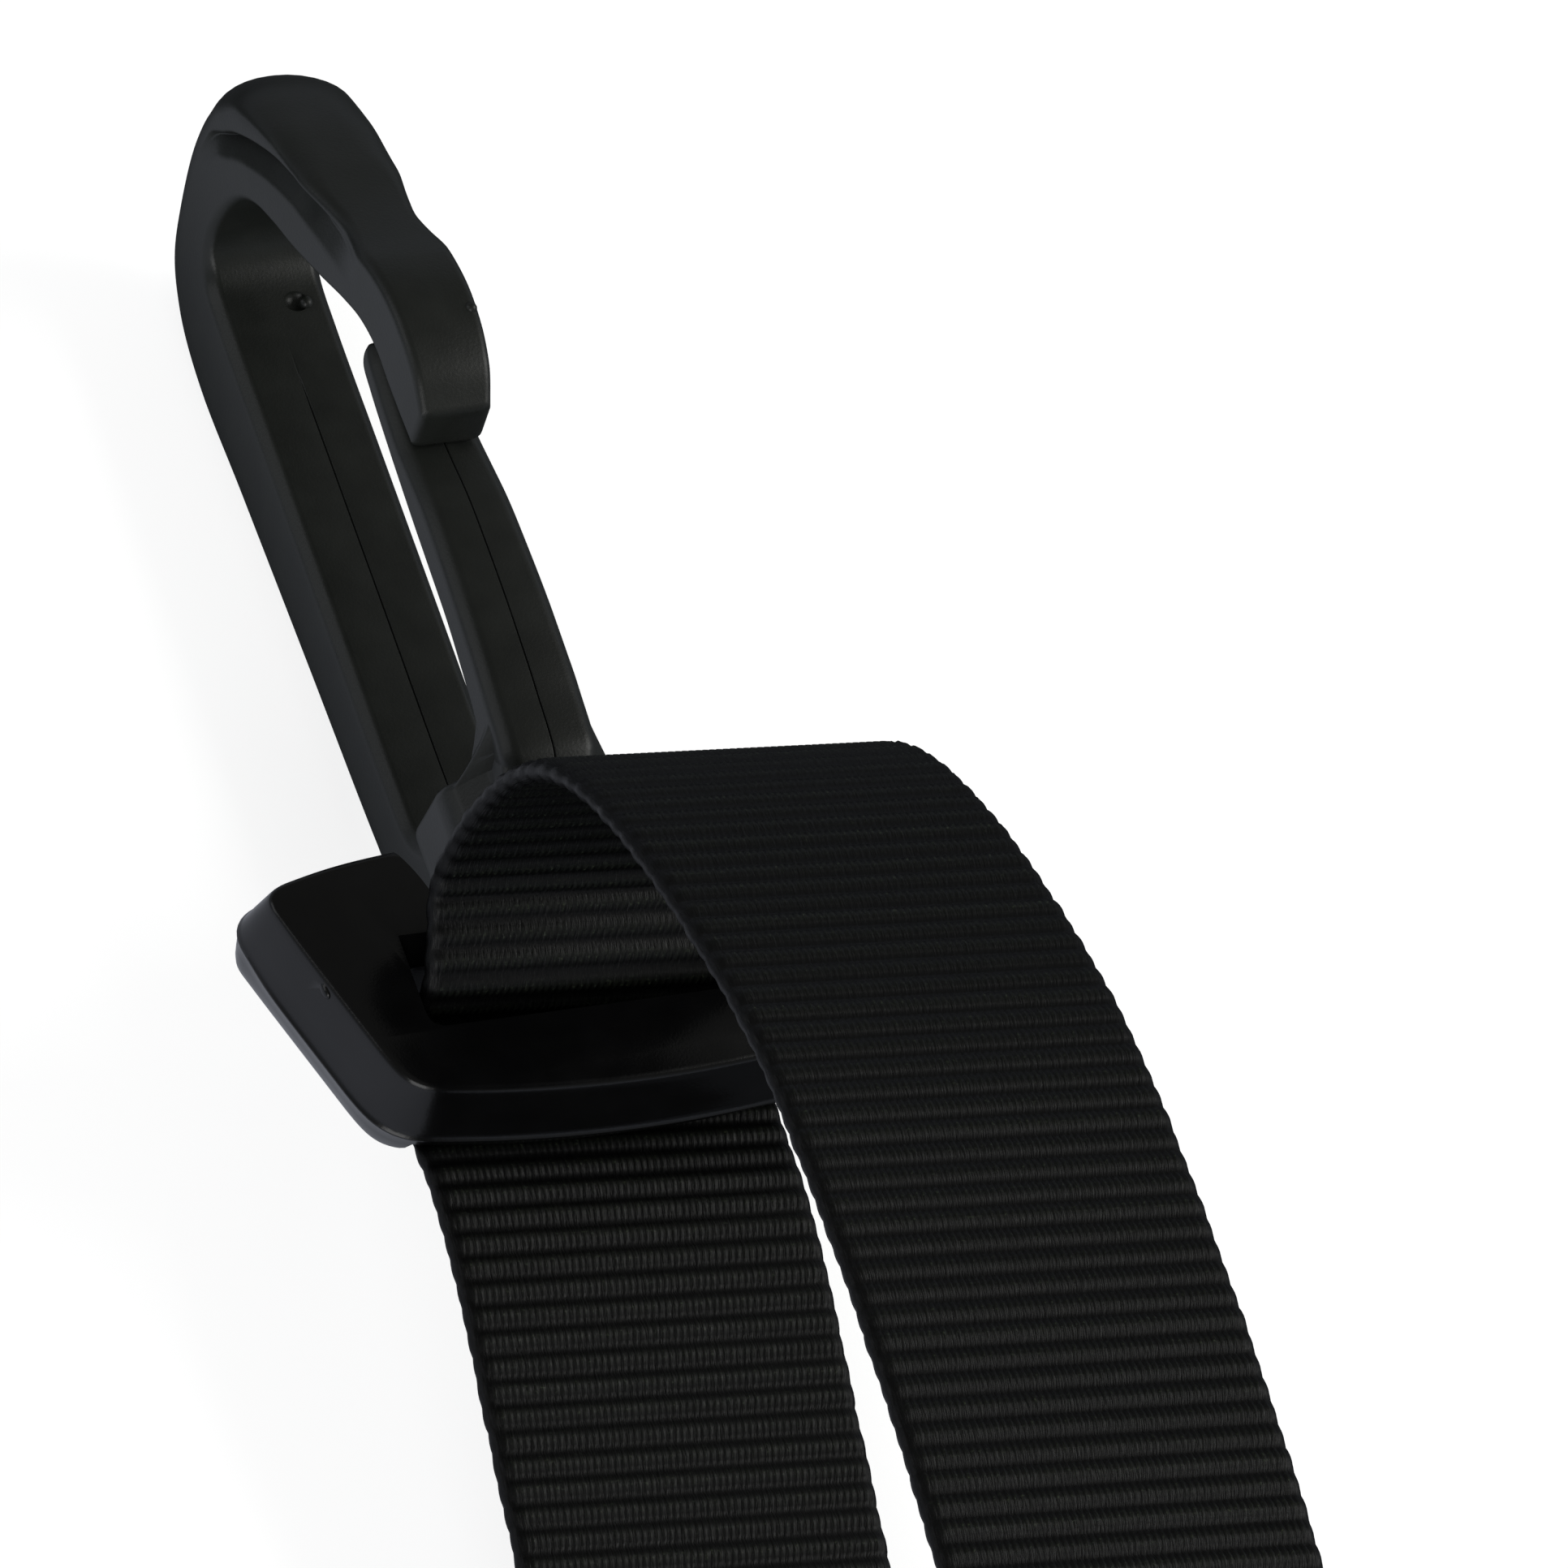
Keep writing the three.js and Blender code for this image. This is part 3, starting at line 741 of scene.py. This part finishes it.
# ---- materials of each piece ----
def webbing_material():
    """Woven polyester: painted shade in the valleys and painted light on the green-black crests, fine
    filaments along the warp, and painted glints.
    """
    material, nodes, links, shader = node_material("webbing")
    crest = nodes.new("ShaderNodeAttribute")
    crest.attribute_name = "crest"
    uv = nodes.new("ShaderNodeUVMap")
    uv.uv_map = "weave"
    stretch = nodes.new("ShaderNodeMapping")
    stretch.inputs["Scale"].default_value = (9, 1.2, 1)
    links.new(uv.outputs["UV"], stretch.inputs["Vector"])
    filaments = noise(nodes, links, stretch.outputs["Vector"], 1.0, 2)
    blotch = noise(nodes, links, uv.outputs["UV"], 0.9, 3)
    # Painted shade and light: the colour runs from dark in the valleys, as shade, to light on the crests, as
    # lit.
    colour = ramp(nodes, links, crest.outputs["Fac"],
                  [(0.4, (0.0008, 0.0008, 0.001)), (0.75, (0.0032, 0.0037, 0.003)),
                   (1.0, (0.0125, 0.014, 0.0112))])
    tint = ramp(nodes, links, blotch, [(0.35, (0.75, 0.8, 0.85)), (0.7, (1.15, 1.2, 1.0))])
    # Painted glints: scattered bright spots multiplied into the webbing's colour.
    painted_glints = ramp(nodes, links, noise(nodes, links, uv.outputs["UV"], 4.2, 1),
                  [(0.6, (1, 1, 1)), (0.72, (4.5, 4.7, 4.2))])
    # The colour with random tone, painted shade and light, and painted glints multiplied together.
    tone_shade_and_glints = times(nodes, links, times(nodes, links, colour, tint), painted_glints)
    links.new(tone_shade_and_glints, shader.inputs["Base Color"])
    links.new(remap(nodes, links, filaments, 0.28, 0.7), shader.inputs["Roughness"])
    links.new(bump(nodes, links, filaments, 0.00006, 0.8), shader.inputs["Normal"])
    shader.inputs["IOR"].default_value = 1.35
    return material


def dress(obj, material, body, slot, *nodes):
    obj.data.materials.clear()
    obj.data.materials.append(material)
    if nodes:
        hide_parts(*nodes)
    if body:
        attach(obj, body)


hook_plastic = plastic("hook_plastic", (0.0155, 0.0175, 0.0150), (0.0215, 0.0240, 0.0205), (0.34, 0.46),
                       grain_depth=0.00002, swirl_depth=0.00012)
base_plastic = plastic("base_plastic", (0.003, 0.003, 0.0032), (0.0045, 0.0045, 0.0048), (0.16, 0.26),
                       grain_depth=0.00001, swirl_depth=0.00008)
thread_plastic = plastic("thread", (0.010, 0.011, 0.010), (0.02, 0.02, 0.018), (0.5, 0.7),
                         grain_depth=0.00004, swirl_depth=0.0001)

hook = make_hook()
dress(hook, hook_plastic, "hook", "hook_moulding", "hook_frame")

gate = make_gate()
dress(gate, hook_plastic, None, "hook_moulding", "spring_gate")
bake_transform(gate)

base = make_base()
dress(base, base_plastic, "base", "base_moulding", "swivel_base")

webbing, webbing_length = make_webbing()
dress(webbing, webbing_material(), "base", "webbing", "webbing_loop")
stitching = make_stitching()
dress(stitching, thread_plastic, "base", "thread", "lap_stitching")


# ---- floor, world and lights ----
def floor_plane(name, colour, glow_colour, glow, height):
    size = 3.0
    corners = [(-size, -size, 0), (size, -size, 0), (size, size, 0), (-size, size, 0)]
    mesh = bpy.data.meshes.new(name)
    mesh.from_pydata(corners, [], [(0, 1, 2, 3)])
    floor = bpy.data.objects.new(name, mesh)
    bpy.context.collection.objects.link(floor)
    floor.location.z = height
    material, nodes, links, shader = node_material(name)
    shader.inputs["Base Color"].default_value = (*colour, 1)
    shader.inputs["Roughness"].default_value = 0.9
    shader.inputs["Specular IOR Level"].default_value = 0
    shader.inputs["Emission Color"].default_value = (*glow_colour, 1)
    shader.inputs["Emission Strength"].default_value = glow
    mesh.materials.append(material)
    return floor


def glow_with_painted_shadow(floor):
    """The bounce floor glows, as painted light, brightest to the left of the object and dimmer towards it:
    the dimming is a painted shadow of the object.
    """
    nodes, links = floor.data.materials[0].node_tree.nodes, floor.data.materials[0].node_tree.links
    split = nodes.new("ShaderNodeSeparateXYZ")
    links.new(nodes.new("ShaderNodeTexCoord").outputs["Object"], split.inputs["Vector"])
    offset = nodes.new("ShaderNodeMath")
    offset.operation = "SUBTRACT"
    offset.inputs[1].default_value = ORIGIN[0]
    links.new(split.outputs["X"], offset.inputs[0])
    reach = nodes.new("ShaderNodeMapRange")
    reach.inputs["From Max"].default_value = -50 * MM
    links.new(offset.outputs["Value"], reach.inputs["Value"])
    near = nodes.new("ShaderNodeMapRange")
    near.inputs["From Min"].default_value = ORIGIN[1] + 90 * MM
    near.inputs["From Max"].default_value = ORIGIN[1] + 80 * MM
    links.new(split.outputs["Y"], near.inputs["Value"])
    glow = ramp(nodes, links, reach.outputs["Result"],
                [(0.08, (0.02,) * 3), (0.27, (0.33,) * 3), (1.0, (0.5,) * 3)])
    both = nodes.new("ShaderNodeMath")
    both.operation = "MULTIPLY"
    links.new(glow, both.inputs[0])
    links.new(near.outputs["Result"], both.inputs[1])
    links.new(both.outputs["Value"], nodes["Principled BSDF"].inputs["Emission Strength"])


def make_floor():
    """A white sweep in two planes. The camera sees one, which glows a little, and the object reflects the
    other, which glows as painted light with a painted shadow near the object."""
    seen = floor_plane("floor", (0.9, 0.9, 0.9), (1, 1, 1), 0.77, -0.0003)
    seen.visible_glossy = False
    seen.visible_diffuse = False
    felt = floor_plane("floor_bounce", (0.34, 0.36, 0.40), (0.93, 0.97, 1.1), 0.0, -0.0004)
    felt.visible_camera = False
    # The bounce floor's glow is painted light, dimmed near the object as a painted shadow.
    glow_with_painted_shadow(felt)


def make_world():
    """Cool and pale below the horizon, as a floor in shade reflects, and dark overhead."""
    world = bpy.data.worlds.new("studio")
    bpy.context.scene.world = world
    world.use_nodes = True
    nodes, links = world.node_tree.nodes, world.node_tree.links
    direction = nodes.new("ShaderNodeTexCoord").outputs["Generated"]
    split = nodes.new("ShaderNodeSeparateXYZ")
    links.new(direction, split.inputs["Vector"])
    height = nodes.new("ShaderNodeMapRange")
    height.inputs["From Min"].default_value = -1
    links.new(split.outputs["Z"], height.inputs["Value"])
    colour = ramp(nodes, links, height.outputs["Result"],
                  [(0.0, (0.30, 0.33, 0.40)), (0.5, (0.42, 0.45, 0.52)), (0.62, (0.2, 0.21, 0.22)),
                   (0.8, (0.11, 0.11, 0.105))])
    links.new(colour, nodes["Background"].inputs["Color"])
    nodes["Background"].inputs["Strength"].default_value = 1.0


def area_light(name, direction, distance, size, power, colour=(1, 1, 1)):
    light = bpy.data.lights.new(name, "AREA")
    light.shape = "SQUARE"
    light.size = size
    light.energy = power
    light.color = colour
    obj = bpy.data.objects.new(name, light)
    bpy.context.collection.objects.link(obj)
    direction = Vector(direction).normalized()
    obj.location = Vector(ORIGIN) + direction * distance
    obj.rotation_mode = "QUATERNION"
    obj.rotation_quaternion = direction.to_track_quat("Z", "Y")


make_floor()
make_world()
area_light("left", (-0.8, 0.3, 0.5), 1.0, 0.55, 0.7, (0.95, 0.97, 1))
area_light("front", (-0.45, -0.85, 0.5), 1.2, 0.7, 3.2)
area_light("right", (0.8, -0.15, 0.6), 1.1, 0.6, 3.2, (1, 1, 0.97))
bpy.context.scene.view_settings.view_transform = "Standard"
